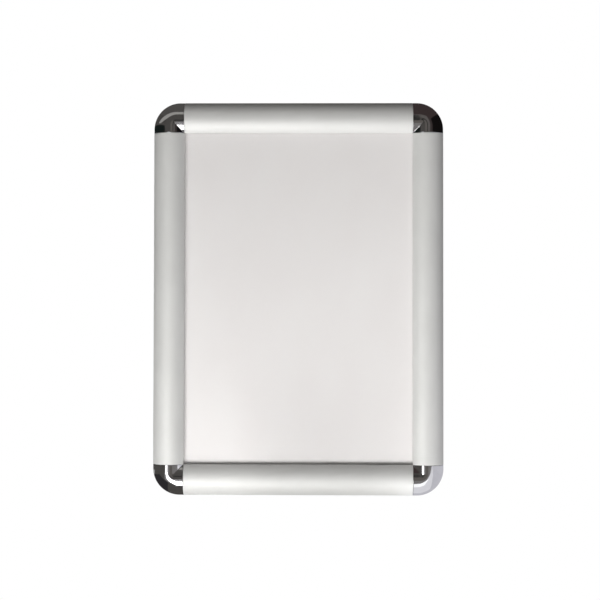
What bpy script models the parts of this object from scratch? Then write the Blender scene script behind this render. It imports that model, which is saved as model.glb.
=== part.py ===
"""Snap-open poster frame for an A4 sheet: four hinged front covers on base rails, with round corner caps.

The frame stands in the XZ plane and faces -Y. The wall plane is y = 0, and the origin is the middle of it.
Each rail is drawn as one section: u runs from the outer edge of the frame inwards, w runs from the wall
forwards, and s runs along the rail.
"""

import math

import bmesh
import bpy
from mathutils import Matrix, Vector

MM = 0.001

# Driving sizes
SHEET_WIDTH = 210 * MM
SHEET_HEIGHT = 297 * MM
EDGE_COVERED = 8 * MM
RAIL_FACE = 26 * MM
RAIL_DEPTH = 12 * MM
CORNER_RADIUS = 22.6 * MM

# Clearances and the overrun of every cut
GAP = 0.3 * MM
HINGE_GAP = 0.25 * MM
SHEET_PLAY = 0.8 * MM
OVERRUN = 1 * MM
MERGE_DISTANCE = 0.001 * MM

# Front covers: the arch, its two downstands and the hinge claw
COVER_WALL = 1.2 * MM
CROWN_SHARE = 0.53
INNER_EDGE_RADIUS = 1 * MM
KNUCKLE_RADIUS = 2.5 * MM
CLAW_WALL = 1.1 * MM
CLAW_START = math.radians(-18)
CLAW_END = math.radians(180)
SEAT_RIB_SETBACK = 2.7 * MM

# Base rails
FLOOR = 1.1 * MM
FLOOR_SETBACK = 0.3 * MM
LEDGE_SETBACK = 0.8 * MM
KERB_WIDTH = 0.6 * MM
KERB_HEIGHT = 0.6 * MM
STEM_WALL = 1 * MM
STEM_ANGLE = math.radians(-51)
RIB_WALL = 1.2 * MM
RIB_SETBACK = 1 * MM
RETAINER_SHARE = 0.4
RETAINER_HEIGHT = 0.9 * MM

# Wall-fixing holes in the two long base rails
FIXING_HOLE_RADIUS = 2.25 * MM
FIXING_SINK_RADIUS = 4 * MM
FIXING_SINK_DEPTH = 0.7 * MM
FIXING_PLACE_SHARES = (-0.34, 0.34)

# Leaf springs and the notches that hold them
SPRING_STRIP = 0.5 * MM
SPRING_WIDTH = 14 * MM
SPRING_RISE = 2.2 * MM
SPRING_PLACE_SHARES = (-0.24, 0.24)
NOTCH_DEPTH = 0.6 * MM
NOTCH_PLAY = 0.7 * MM
NOTCH_LIP = 0.45 * MM

# Corner connectors and their set screws
CONNECTOR_PLATE = 1.5 * MM
CONNECTOR_ARM = 30 * MM
SET_SCREW_RADIUS = 1.5 * MM
SET_SCREW_LENGTH = 2.2 * MM
SET_SCREW_FROM_SEAM = 20 * MM
SET_SCREW_SOCKET = 1.5 * MM
SET_SCREW_SOCKET_DEPTH = 1.3 * MM

# Corner caps and the screws that hold them
CAP_WALL = 1.8 * MM
CAP_FOOT = 0.2 * MM
BOSS_RADIUS = 3 * MM
CAP_SCREW_RADIUS = 1.25 * MM
CAP_SCREW_LENGTH = 6.6 * MM
CAP_SCREW_HEAD_RADIUS = 2.6 * MM
CAP_SCREW_HEAD = 0.9 * MM
CAP_SCREW_SOCKET = 2 * MM
CAP_SCREW_SOCKET_DEPTH = 0.7 * MM

# What the frame holds
PANEL_THICKNESS = 1.5 * MM
INSERT_THICKNESS = 0.2 * MM
COVER_SHEET_THICKNESS = 0.5 * MM
SHEET_CORNER_RADIUS = 1.5 * MM

# Facets
FINE_STEP = math.radians(9)
ROUND_SIDES = 24
BEND_STEPS = 9

# The frame as a whole
FRAME_WIDTH = SHEET_WIDTH - 2 * EDGE_COVERED + 2 * RAIL_FACE
FRAME_HEIGHT = SHEET_HEIGHT - 2 * EDGE_COVERED + 2 * RAIL_FACE
SEAM = max(RAIL_FACE, CORNER_RADIUS + GAP)
SHORT_RAIL = FRAME_WIDTH - 2 * SEAM - GAP
LONG_RAIL = FRAME_HEIGHT - 2 * SEAM - GAP

# The arch of the section: a circle about DOME that runs into the knuckle circle about HINGE
CROWN = CROWN_SHARE * RAIL_FACE
HINGE = Vector((KNUCKLE_RADIUS, FLOOR + GAP + KNUCKLE_RADIUS))
HINGE_TO_CROWN = Vector((CROWN, RAIL_DEPTH)) - HINGE
DOME_RADIUS = (HINGE_TO_CROWN.length_squared - KNUCKLE_RADIUS**2) / (2 * (HINGE_TO_CROWN.y - KNUCKLE_RADIUS))
DOME = Vector((CROWN, RAIL_DEPTH - DOME_RADIUS))
KNUCKLE_TANGENT = math.atan2(HINGE.y - DOME.y, HINGE.x - DOME.x)
CLAW_BORE = KNUCKLE_RADIUS - CLAW_WALL
BEAD_RADIUS = CLAW_BORE - HINGE_GAP

# Heights of the stack on the ledge, and of what presses on it
PANEL_BACK = FLOOR + GAP
INSERT_BACK = PANEL_BACK + PANEL_THICKNESS + GAP
COVER_SHEET_BACK = INSERT_BACK + INSERT_THICKNESS + GAP
LIP_END = COVER_SHEET_BACK + COVER_SHEET_THICKNESS + GAP

# Places across the base rail
SPRING_RIB = 2 * KNUCKLE_RADIUS + RIB_SETBACK
CHANNEL_START = SPRING_RIB + RIB_WALL
STOP_RIB_FACE = RAIL_FACE - EDGE_COVERED - SHEET_PLAY
CHANNEL_END = STOP_RIB_FACE - RIB_WALL
CHANNEL_MIDDLE = (CHANNEL_START + CHANNEL_END) / 2
CONNECTOR_BACK = FLOOR + GAP
RETAINER_BACK = CONNECTOR_BACK + CONNECTOR_PLATE + GAP
RETAINER_REACH = RETAINER_SHARE * (CHANNEL_MIDDLE - CHANNEL_START - SET_SCREW_RADIUS)
SEAT_RIB = RAIL_FACE - COVER_WALL - SEAT_RIB_SETBACK
NOTCH_HEIGHT = SPRING_STRIP + NOTCH_PLAY

# Places in a corner: the connector's bend is concentric with the cap, and the cap screw is in its middle
CONNECTOR_OUTER = CHANNEL_START + GAP
CONNECTOR_INNER = CHANNEL_END - GAP
CONNECTOR_BEND = CORNER_RADIUS - CONNECTOR_OUTER
BEND_MIDDLE = CORNER_RADIUS - CONNECTOR_BEND / math.sqrt(2)
CAP_SCREW_PLACE = (BEND_MIDDLE + CONNECTOR_INNER) / 2

RAILS = ("bottom", "right", "top", "left")
CORNERS = ("bottom_left", "bottom_right", "top_right", "top_left")


def arc(centre, radius, start, end):
    """Points of an arc from angle start to angle end, both ends included."""
    steps = max(1, math.ceil(abs(end - start) / FINE_STEP))
    angles = [start + (end - start) * step / steps for step in range(steps + 1)]
    return [centre + radius * Vector((math.cos(a), math.sin(a))) for a in angles]


def dome_angle(u, inset):
    """The angle about DOME at which the arch, inset by a wall, stands at u."""
    return math.acos((u - DOME.x) / (DOME_RADIUS - inset))


def dome_height(u, inset):
    return DOME.y + (DOME_RADIUS - inset) * math.sin(dome_angle(u, inset))


def arch(inset, knuckle_start, end):
    """The arch inset by a wall: round the knuckle, over the crown, and on to the angle end about DOME."""
    knuckle = arc(HINGE, KNUCKLE_RADIUS - inset, knuckle_start, KNUCKLE_TANGENT)
    rise = arc(DOME, DOME_RADIUS - inset, KNUCKLE_TANGENT, math.pi / 2)
    fall = arc(DOME, DOME_RADIUS - inset, math.pi / 2, end)
    return knuckle + rise[1:] + fall[1:]


def rounded_arch(inner_edge):
    """The outer face of the arch with its inner edge rounded off into the vertical face at inner_edge."""
    edge_centre_u = inner_edge - INNER_EDGE_RADIUS
    turn = dome_angle(edge_centre_u, INNER_EDGE_RADIUS)
    edge_centre = Vector((edge_centre_u, dome_height(edge_centre_u, INNER_EDGE_RADIUS)))
    return arch(0, CLAW_END, turn) + arc(edge_centre, INNER_EDGE_RADIUS, turn, 0)[1:]


def notch(face_u, inward, middle_w):
    """A square notch in a rib's face, drawn upwards. It runs inward, towards +u or -u, from face_u."""
    bottom = middle_w - NOTCH_HEIGHT / 2
    top = middle_w + NOTCH_HEIGHT / 2
    deep = face_u + inward * NOTCH_DEPTH
    return [Vector((face_u, bottom)), Vector((deep, bottom)), Vector((deep, top)), Vector((face_u, top))]


def spring_rib_top():
    return dome_height(SPRING_RIB, COVER_WALL) - GAP


def base_notch_middle():
    return spring_rib_top() - NOTCH_LIP - NOTCH_HEIGHT / 2


def cover_notch_middle():
    return LIP_END + NOTCH_LIP + NOTCH_HEIGHT / 2


def cover_section():
    """The front cover: arch, inner lip, spring seat rib and the claw that turns on the base rail's bead."""
    lip_inner = RAIL_FACE - COVER_WALL
    seat_rib_back = SEAT_RIB + RIB_WALL
    inner_radius = DOME_RADIUS - COVER_WALL
    outline = rounded_arch(RAIL_FACE)
    outline += [Vector((RAIL_FACE, LIP_END)), Vector((lip_inner, LIP_END))]
    lip_angle = dome_angle(lip_inner, COVER_WALL)
    outline += arc(DOME, inner_radius, lip_angle, dome_angle(seat_rib_back, COVER_WALL))
    outline += [Vector((seat_rib_back, LIP_END)), Vector((SEAT_RIB, LIP_END))]
    outline += notch(SEAT_RIB, 1, cover_notch_middle())
    # The inner face of the arch meets the outside of the claw where both circles cross.
    reach = DOME_RADIUS - KNUCKLE_RADIUS
    across = (inner_radius**2 - reach**2 - KNUCKLE_RADIUS**2) / (2 * reach * KNUCKLE_RADIUS)
    claw_top = KNUCKLE_TANGENT - math.acos(across)
    meeting = HINGE + KNUCKLE_RADIUS * Vector((math.cos(claw_top), math.sin(claw_top)))
    outline += arc(DOME, inner_radius, dome_angle(SEAT_RIB, COVER_WALL), dome_angle(meeting.x, COVER_WALL))
    outline += arc(HINGE, KNUCKLE_RADIUS, claw_top, CLAW_START)[1:]
    outline += arc(HINGE, CLAW_BORE, CLAW_START, CLAW_END)
    return outline


def base_section():
    """The base rail: floor, kerb, the hinge's stem and bead, spring rib, connector channel and stop rib."""
    ledge_end = RAIL_FACE - LEDGE_SETBACK
    retainer_top = RETAINER_BACK + RETAINER_HEIGHT
    along = Vector((math.cos(STEM_ANGLE), math.sin(STEM_ANGLE)))
    side = Vector((-along.y, along.x)) * STEM_WALL / 2
    leaves_bead = math.asin(STEM_WALL / 2 / BEAD_RADIUS)
    stem_right = HINGE + side
    stem_left = HINGE - side
    right_foot = stem_right + along * (stem_right.y - FLOOR) / -along.y
    left_foot = stem_left + along * (stem_left.y - FLOOR) / -along.y
    outline = [
        Vector((FLOOR_SETBACK, 0)),
        Vector((ledge_end, 0)),
        Vector((ledge_end, FLOOR)),
        Vector((STOP_RIB_FACE, FLOOR)),
        Vector((STOP_RIB_FACE, retainer_top)),
        Vector((CHANNEL_END - RETAINER_REACH, retainer_top)),
        Vector((CHANNEL_END - RETAINER_REACH, RETAINER_BACK)),
        Vector((CHANNEL_END, RETAINER_BACK)),
        Vector((CHANNEL_END, FLOOR)),
        Vector((CHANNEL_START, FLOOR)),
        Vector((CHANNEL_START, RETAINER_BACK)),
        Vector((CHANNEL_START + RETAINER_REACH, RETAINER_BACK)),
        Vector((CHANNEL_START + RETAINER_REACH, retainer_top)),
        Vector((CHANNEL_START, retainer_top)),
    ]
    outline += notch(CHANNEL_START, -1, base_notch_middle())
    outline += [
        Vector((CHANNEL_START, spring_rib_top())),
        Vector((SPRING_RIB, spring_rib_top())),
        Vector((SPRING_RIB, FLOOR)),
        right_foot,
    ]
    outline += arc(HINGE, BEAD_RADIUS, STEM_ANGLE + leaves_bead, STEM_ANGLE + 2 * math.pi - leaves_bead)
    outline += [
        left_foot,
        Vector((FLOOR_SETBACK + KERB_WIDTH, FLOOR)),
        Vector((FLOOR_SETBACK + KERB_WIDTH / 2, FLOOR + KERB_HEIGHT)),
        Vector((FLOOR_SETBACK, FLOOR + KERB_HEIGHT)),
    ]
    return outline


def spring_section():
    """A leaf spring: a strip bent to an arc between the notch of the base rail and that of the cover."""
    start = Vector((CHANNEL_START - NOTCH_DEPTH + GAP, base_notch_middle()))
    end = Vector((SEAT_RIB + NOTCH_DEPTH - GAP, cover_notch_middle()))
    chord = end - start
    radius = (chord.length_squared / 4 + SPRING_RISE**2) / (2 * SPRING_RISE)
    down = Vector((chord.y, -chord.x)).normalized()
    centre = (start + end) / 2 + down * (radius - SPRING_RISE)
    first = math.atan2(start.y - centre.y, start.x - centre.x)
    last = math.atan2(end.y - centre.y, end.x - centre.x)
    outside = arc(centre, radius + SPRING_STRIP / 2, first, last)
    return outside + arc(centre, radius - SPRING_STRIP / 2, last, first)


def mesh_of(shape, name):
    """A finished mesh from a bmesh, with its normals out and its round faces smooth."""
    bmesh.ops.recalc_face_normals(shape, faces=shape.faces)
    mesh = bpy.data.meshes.new(name)
    shape.to_mesh(mesh)
    shape.free()
    return smooth(mesh)


def smooth(mesh):
    mesh.shade_smooth()
    mesh.set_sharp_from_angle(angle=math.radians(28))
    return mesh


def prism(name, outline, direction):
    """The flat outline, a list of 3-D points, carried along direction."""
    shape = bmesh.new()
    face = shape.faces.new([shape.verts.new(point) for point in outline])
    carried = bmesh.ops.extrude_face_region(shape, geom=[face])["geom"]
    moved = [item for item in carried if isinstance(item, bmesh.types.BMVert)]
    bmesh.ops.translate(shape, verts=moved, vec=direction)
    return mesh_of(shape, name)


def rail_prism(name, section, length, origin):
    """A section carried along s. The mesh's own origin is at the point origin of the section."""
    outline = [Vector((-length / 2, point.x - origin.x, point.y - origin.y)) for point in section]
    return prism(name, outline, Vector((length, 0, 0)))


def turned(name, profile, sides):
    """A solid of revolution about Z from (radius, height) points that start and end on the axis."""
    shape = bmesh.new()
    points = [shape.verts.new((radius, 0, height)) for radius, height in profile]
    edges = [shape.edges.new(pair) for pair in zip(points, points[1:])]
    bmesh.ops.spin(
        shape,
        geom=points + edges,
        axis=(0, 0, 1),
        cent=(0, 0, 0),
        steps=sides,
        angle=2 * math.pi,
        use_duplicate=False,
    )
    bmesh.ops.remove_doubles(shape, verts=shape.verts, dist=MERGE_DISTANCE)
    return mesh_of(shape, name)


def carved(mesh, cutters):
    """The mesh after Booleans with (operation, cutter mesh) pairs. The cutters aren't rendered."""
    target = bpy.data.objects.new("carving", mesh)
    bpy.context.collection.objects.link(target)
    helpers = []
    for operation, cutter_mesh in cutters:
        helper = bpy.data.objects.new("cutter", cutter_mesh)
        helper.hide_render = True
        helper.display_type = "WIRE"
        bpy.context.collection.objects.link(helper)
        helpers.append(helper)
        cut = target.modifiers.new(operation.lower(), "BOOLEAN")
        cut.operation = operation
        cut.object = helper
    bpy.context.view_layer.update()
    result = bpy.data.meshes.new_from_object(target.evaluated_get(bpy.context.evaluated_depsgraph_get()))
    result.name = mesh.name
    for item in [target] + helpers:
        bpy.data.objects.remove(item)
    return smooth(result)


def moved(mesh, offset):
    mesh.transform(Matrix.Translation(offset))
    return mesh


def corner_contour(u, first_u, radius, reach):
    """The line at depth u round a corner: straight, round, straight. Its round dies out at the crown."""
    bend = radius * max(0, (CROWN - u) / (CROWN - first_u))
    turns = [math.pi / 2 * step / BEND_STEPS for step in range(BEND_STEPS + 1)]
    round_part = [(u + bend - bend * math.sin(a), u + bend - bend * math.cos(a)) for a in turns]
    return [(reach, u)] + round_part + [(u, reach)]


def corner_sweep(name, profile, first_u, radius, reach):
    """A closed (u, w) profile swept round a corner, from the plane x = reach to the plane y = reach."""
    shape = bmesh.new()
    rings = [
        [shape.verts.new((x, y, point.y)) for x, y in corner_contour(point.x, first_u, radius, reach)]
        for point in profile
    ]
    for ring, after in zip(rings, rings[1:] + rings[:1]):
        for i in range(len(ring) - 1):
            shape.faces.new((ring[i], ring[i + 1], after[i + 1], after[i]))
    shape.faces.new([ring[0] for ring in reversed(rings)])
    shape.faces.new([ring[-1] for ring in rings])
    bmesh.ops.remove_doubles(shape, verts=shape.verts, dist=MERGE_DISTANCE)
    return mesh_of(shape, name)


def cap_mesh():
    """A corner cap: the arch swept round the corner, hollowed to a wall, with a screw boss inside."""
    inner_edge = RAIL_FACE - GAP / 2
    lip_inner = inner_edge - CAP_WALL
    core_side = lip_inner - OVERRUN
    outer = [Vector((0, CAP_FOOT))] + rounded_arch(inner_edge)
    outer += [Vector((inner_edge, LIP_END)), Vector((core_side, LIP_END)), Vector((core_side, CAP_FOOT))]
    core = [Vector((CAP_WALL, -OVERRUN))]
    core += arch(CAP_WALL, CLAW_END, dome_angle(lip_inner, CAP_WALL))
    core += [Vector((lip_inner, -OVERRUN))]
    body = corner_sweep("corner_cap", outer, 0, CORNER_RADIUS, SEAM - GAP / 2)
    hollow = corner_sweep("cap_core", core, CAP_WALL, CORNER_RADIUS - CAP_WALL, SEAM + OVERRUN)
    place = Vector((CAP_SCREW_PLACE, CAP_SCREW_PLACE, 0))
    boss_foot = CONNECTOR_BACK + CONNECTOR_PLATE + GAP
    bore_end = CONNECTOR_BACK + CAP_SCREW_LENGTH + 2 * GAP
    boss = turned("boss", cylinder(BOSS_RADIUS, boss_foot, RAIL_DEPTH), ROUND_SIDES)
    bore = turned("bore", cylinder(CAP_SCREW_RADIUS + GAP, boss_foot - OVERRUN, bore_end), ROUND_SIDES)
    hollow = carved(hollow, [("DIFFERENCE", moved(boss, place))])
    return carved(body, [("DIFFERENCE", hollow), ("DIFFERENCE", moved(bore, place))])


def cylinder(radius, bottom, top):
    return [(0, bottom), (radius, bottom), (radius, top), (0, top)]


def hexagon(name, across_flats, bottom, top):
    """A hexagonal prism on the Z axis, for the sockets."""
    radius = across_flats / math.sqrt(3)
    turns = [math.pi / 3 * corner for corner in range(6)]
    outline = [(radius * math.cos(a), radius * math.sin(a), bottom) for a in turns]
    return prism(name, outline, Vector((0, 0, top - bottom)))


def set_screw_mesh():
    """A grub screw with a cup point towards the floor of the rail and a hexagon socket in front."""
    bottom = FLOOR + GAP
    top = bottom + SET_SCREW_LENGTH
    chamfer = SET_SCREW_RADIUS / 5
    profile = [
        (0, bottom),
        (SET_SCREW_RADIUS - chamfer, bottom),
        (SET_SCREW_RADIUS, bottom + chamfer),
        (SET_SCREW_RADIUS, top),
        (0, top),
    ]
    socket = hexagon("socket", SET_SCREW_SOCKET, top - SET_SCREW_SOCKET_DEPTH, top + OVERRUN)
    return carved(turned("set_screw", profile, ROUND_SIDES), [("DIFFERENCE", socket)])


def cap_screw_mesh():
    """The screw of a corner cap: a low head behind the connector, a shank in the boss, a socket behind."""
    head_top = CONNECTOR_BACK - GAP
    head_bottom = head_top - CAP_SCREW_HEAD
    tip = CONNECTOR_BACK + CAP_SCREW_LENGTH
    point = CAP_SCREW_RADIUS / 2
    profile = [
        (0, head_bottom),
        (CAP_SCREW_HEAD_RADIUS - CAP_SCREW_HEAD / 2, head_bottom),
        (CAP_SCREW_HEAD_RADIUS, head_bottom + CAP_SCREW_HEAD / 2),
        (CAP_SCREW_HEAD_RADIUS, head_top),
        (CAP_SCREW_RADIUS, head_top),
        (CAP_SCREW_RADIUS, tip - point),
        (CAP_SCREW_RADIUS - point, tip),
        (0, tip),
    ]
    socket = hexagon("socket", CAP_SCREW_SOCKET, head_bottom - OVERRUN, head_bottom + CAP_SCREW_SOCKET_DEPTH)
    return carved(turned("cap_screw", profile, ROUND_SIDES), [("DIFFERENCE", socket)])


def connector_mesh():
    """The L-shaped plate in two rail channels, with two threaded holes and the hole of the cap screw."""
    outer = CONNECTOR_OUTER
    inner = CONNECTOR_INNER
    tip = SEAM + CONNECTOR_ARM
    flat = [Vector((tip, outer)), Vector((tip, inner)), Vector((inner, inner))]
    flat += [Vector((inner, tip)), Vector((outer, tip))]
    flat += arc(Vector((CORNER_RADIUS, CORNER_RADIUS)), CONNECTOR_BEND, math.pi, math.pi * 3 / 2)
    outline = [(point.x, point.y, CONNECTOR_BACK) for point in flat]
    plate = prism("corner_connector", outline, Vector((0, 0, CONNECTOR_PLATE)))
    bottom = CONNECTOR_BACK - OVERRUN
    top = CONNECTOR_BACK + CONNECTOR_PLATE + OVERRUN
    screw_place = SEAM + SET_SCREW_FROM_SEAM
    holes = []
    for x, y, radius in (
        (screw_place, CHANNEL_MIDDLE, SET_SCREW_RADIUS),
        (CHANNEL_MIDDLE, screw_place, SET_SCREW_RADIUS),
        (CAP_SCREW_PLACE, CAP_SCREW_PLACE, CAP_SCREW_RADIUS),
    ):
        hole = turned("hole", cylinder(radius + GAP, bottom, top), ROUND_SIDES)
        holes.append(("DIFFERENCE", moved(hole, Vector((x, y, 0)))))
    return carved(plate, holes)


def drilled_rail(mesh, length):
    """A long base rail with its countersunk wall-fixing holes."""
    profile = [
        (0, -OVERRUN),
        (FIXING_HOLE_RADIUS, -OVERRUN),
        (FIXING_HOLE_RADIUS, FLOOR - FIXING_SINK_DEPTH),
        (FIXING_SINK_RADIUS, FLOOR),
        (FIXING_SINK_RADIUS, FLOOR + GAP),
        (0, FLOOR + GAP),
    ]
    holes = []
    for share in FIXING_PLACE_SHARES:
        hole = turned("fixing_hole", profile, ROUND_SIDES)
        holes.append(("DIFFERENCE", moved(hole, Vector((share * length, CHANNEL_MIDDLE, 0)))))
    return carved(mesh, holes)


def sheet_mesh(name, back, thickness):
    """A sheet of the format that the frame is made for, with small round corners."""
    half_width = SHEET_WIDTH / 2 - SHEET_CORNER_RADIUS
    half_height = SHEET_HEIGHT / 2 - SHEET_CORNER_RADIUS
    outline = []
    for quarter, (x, z) in enumerate(((1, 1), (-1, 1), (-1, -1), (1, -1))):
        start = quarter * math.pi / 2
        centre = Vector((x * half_width, z * half_height))
        outline += arc(centre, SHEET_CORNER_RADIUS, start, start + math.pi / 2)
    return prism(name, [(p.x, -back, p.y) for p in outline], Vector((0, -thickness, 0)))


def material(name, colour, roughness, metallic):
    made = bpy.data.materials.new(name)
    made.use_nodes = True
    shader = made.node_tree.nodes["Principled BSDF"]
    shader.inputs["Base Color"].default_value = (*colour, 1)
    shader.inputs["Roughness"].default_value = roughness
    shader.inputs["Metallic"].default_value = metallic
    return made


def add(name, mesh, finish, parent, place):
    """One piece: its own object, set at place in its parent's frame."""
    piece = bpy.data.objects.new(name, mesh)
    if not mesh.materials:
        mesh.materials.append(finish)
    piece.parent = parent
    piece.location = place
    bpy.context.collection.objects.link(piece)
    return piece


def station(name, quarter, x, z):
    """An empty at a point of the frame's outer edge. Its X runs along s, its Y along u and its Z along w."""
    empty = bpy.data.objects.new(name, None)
    empty.empty_display_size = RAIL_FACE
    turn = Matrix.Rotation(-quarter * math.pi / 2, 4, "Y") @ Matrix.Rotation(math.pi / 2, 4, "X")
    empty.matrix_world = Matrix.Translation((x, 0, z)) @ turn
    bpy.context.collection.objects.link(empty)
    return empty


def rail_station(side):
    quarter = RAILS.index(side)
    x = (0, FRAME_WIDTH / 2, 0, -FRAME_WIDTH / 2)[quarter]
    z = (-FRAME_HEIGHT / 2, 0, FRAME_HEIGHT / 2, 0)[quarter]
    return station(side + "_side", quarter, x, z)


def corner_station(corner):
    quarter = CORNERS.index(corner)
    x = (-1, 1, 1, -1)[quarter] * FRAME_WIDTH / 2
    z = (-1, -1, 1, 1)[quarter] * FRAME_HEIGHT / 2
    return station(corner + "_corner", quarter, x, z)


def build_sides(finishes):
    """The four sides: a base rail, its cover on the hinge axis, two leaf springs and two set screws."""
    section_origin = Vector((0, 0))
    short_cover = rail_prism("short_cover", cover_section(), SHORT_RAIL, HINGE)
    long_cover = rail_prism("long_cover", cover_section(), LONG_RAIL, HINGE)
    short_base = rail_prism("short_base", base_section(), SHORT_RAIL, section_origin)
    long_base = drilled_rail(rail_prism("long_base", base_section(), LONG_RAIL, section_origin), LONG_RAIL)
    spring = rail_prism("leaf_spring", spring_section(), SPRING_WIDTH, section_origin)
    screw = set_screw_mesh()
    for side in RAILS:
        upright = side in ("left", "right")
        length = LONG_RAIL if upright else SHORT_RAIL
        base = long_base if upright else short_base
        cover = long_cover if upright else short_cover
        place = rail_station(side)
        add(side + "_base_rail", base, finishes["mill"], place, (0, 0, 0))
        add(side + "_front_cover", cover, finishes["satin"], place, (0, *HINGE))
        for number, share in enumerate(SPRING_PLACE_SHARES, 1):
            add(f"{side}_leaf_spring_{number}", spring, finishes["spring"], place, (share * length, 0, 0))
        screw_place = (length + GAP) / 2 - SET_SCREW_FROM_SEAM
        for number, s in enumerate((-screw_place, screw_place), 1):
            add(f"{side}_set_screw_{number}", screw, finishes["zinc"], place, (s, CHANNEL_MIDDLE, 0))


def build_corners(finishes):
    """The four corners: a connector, a chrome cap and the screw that holds the cap from behind."""
    connector = connector_mesh()
    cap = cap_mesh()
    screw = cap_screw_mesh()
    for corner in CORNERS:
        place = corner_station(corner)
        add(corner + "_connector", connector, finishes["zinc"], place, (0, 0, 0))
        add(corner + "_cap", cap, finishes["chrome"], place, (0, 0, 0))
        add(corner + "_cap_screw", screw, finishes["zinc"], place, (CAP_SCREW_PLACE, CAP_SCREW_PLACE, 0))


def build_stack(finishes):
    """What the frame holds, from the wall forwards: the backing panel, the insert and the cover sheet."""
    layers = (
        ("backing_panel", PANEL_BACK, PANEL_THICKNESS, "panel"),
        ("blank_insert", INSERT_BACK, INSERT_THICKNESS, "paper"),
        ("clear_cover_sheet", COVER_SHEET_BACK, COVER_SHEET_THICKNESS, "clear"),
    )
    for name, back, thickness, finish in layers:
        add(name, sheet_mesh(name, back, thickness), finishes[finish], None, (0, 0, 0))


def main():
    for old in list(bpy.data.objects):
        bpy.data.objects.remove(old)
    finishes = {
        "satin": material("satin_aluminium", (0.72, 0.72, 0.72), 0.38, 1),
        "mill": material("mill_aluminium", (0.62, 0.62, 0.63), 0.45, 1),
        "chrome": material("chrome_plate", (0.80, 0.80, 0.82), 0.06, 1),
        "zinc": material("zinc_plated_steel", (0.60, 0.61, 0.63), 0.35, 1),
        "spring": material("spring_steel", (0.38, 0.40, 0.44), 0.3, 1),
        "panel": material("white_polystyrene", (0.85, 0.85, 0.84), 0.5, 0),
        "paper": material("white_paper", (0.84, 0.82, 0.82), 0.8, 0),
        "clear": material("clear_sheet", (0.88, 0.88, 0.88), 0.3, 0),
    }
    build_sides(finishes)
    build_corners(finishes)
    build_stack(finishes)


main()
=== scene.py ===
"""The looks of a snap-open poster frame: fine surfaces, finishes, a soft studio and the camera.

The frame stands in the XZ plane, faces -Y and has its wall plane at y = 0. Every rail and corner is drawn in
its own axes: s runs along it, u from the outer edge inwards and w from the wall forwards.
"""

import math

import bmesh
import bpy
from mathutils import Matrix, Vector


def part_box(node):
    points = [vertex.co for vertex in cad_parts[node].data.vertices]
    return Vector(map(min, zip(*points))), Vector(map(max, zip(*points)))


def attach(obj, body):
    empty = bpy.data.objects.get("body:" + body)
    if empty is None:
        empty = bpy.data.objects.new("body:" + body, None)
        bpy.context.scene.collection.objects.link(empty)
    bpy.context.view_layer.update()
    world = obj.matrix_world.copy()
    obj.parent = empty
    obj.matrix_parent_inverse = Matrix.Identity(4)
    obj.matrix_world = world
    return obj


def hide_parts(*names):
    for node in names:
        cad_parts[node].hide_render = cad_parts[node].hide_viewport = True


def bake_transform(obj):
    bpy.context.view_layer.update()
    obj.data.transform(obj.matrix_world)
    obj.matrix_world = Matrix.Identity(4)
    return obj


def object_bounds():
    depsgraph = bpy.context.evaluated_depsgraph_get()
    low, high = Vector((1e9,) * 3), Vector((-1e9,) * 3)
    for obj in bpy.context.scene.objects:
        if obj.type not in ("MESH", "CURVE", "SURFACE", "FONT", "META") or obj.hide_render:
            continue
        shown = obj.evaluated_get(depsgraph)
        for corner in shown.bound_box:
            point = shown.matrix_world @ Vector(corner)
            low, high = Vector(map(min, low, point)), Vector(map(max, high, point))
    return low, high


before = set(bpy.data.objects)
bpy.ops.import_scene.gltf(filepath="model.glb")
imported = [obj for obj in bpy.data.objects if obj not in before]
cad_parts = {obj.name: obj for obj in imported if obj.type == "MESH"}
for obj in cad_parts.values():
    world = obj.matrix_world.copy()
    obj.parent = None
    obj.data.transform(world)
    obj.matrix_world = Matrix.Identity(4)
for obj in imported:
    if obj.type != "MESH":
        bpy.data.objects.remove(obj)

CAD_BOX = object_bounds()
MM = 0.001

# The whole frame, and one side of it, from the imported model
FRAME_WIDTH = CAD_BOX[1].x - CAD_BOX[0].x
FRAME_HEIGHT = CAD_BOX[1].z - CAD_BOX[0].z
RAIL_DEPTH = CAD_BOX[1].y - CAD_BOX[0].y
INSERT_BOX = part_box("blank_insert")
EDGE_COVERED = 8 * MM
RAIL_FACE = (FRAME_WIDTH - (INSERT_BOX[1].x - INSERT_BOX[0].x)) / 2 + EDGE_COVERED
GAP = 0.3 * MM
OVERRUN = 1 * MM

# The section of the front covers
CROWN_SHARE = 0.53
COVER_WALL = 1.2 * MM
INNER_EDGE_RADIUS = 1 * MM
KNUCKLE_RADIUS = 2.5 * MM
CLAW_WALL = 1.1 * MM
CLAW_START = math.radians(-18)
CLAW_END = math.radians(180)
SEAT_RIB_SETBACK = 2.7 * MM
LIP_END = 4.5 * MM

# The section of the base rails
FLOOR = 1.1 * MM
FLOOR_SETBACK = 0.3 * MM
LEDGE_SETBACK = 0.8 * MM
KERB_WIDTH = 0.6 * MM
KERB_HEIGHT = 0.6 * MM
STEM_WALL = 1 * MM
STEM_ANGLE = math.radians(-51)
HINGE_GAP = 0.25 * MM
RIB_WALL = 1.2 * MM
CHANNEL_START = 7.2 * MM
CHANNEL_END = 16 * MM
STOP_RIB_FACE = 17.2 * MM
RETAINER_BACK = 3.2 * MM
RETAINER_HEIGHT = 0.9 * MM
RETAINER_REACH = 1.16 * MM
FIXING_HOLE_RADIUS = 2.25 * MM
FIXING_SINK_RADIUS = 4 * MM
FIXING_SINK_DEPTH = 0.7 * MM
FIXING_PLACE_SHARES = (-0.34, 0.34)

# Leaf springs and the notches that hold them
SPRING_STRIP = 0.5 * MM
SPRING_WIDTH = 14 * MM
SPRING_RISE = 2.2 * MM
SPRING_PLACE_SHARES = (-0.24, 0.24)
NOTCH_DEPTH = 0.6 * MM
NOTCH_HEIGHT = 1.2 * MM
NOTCH_LIP = 0.45 * MM

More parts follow.
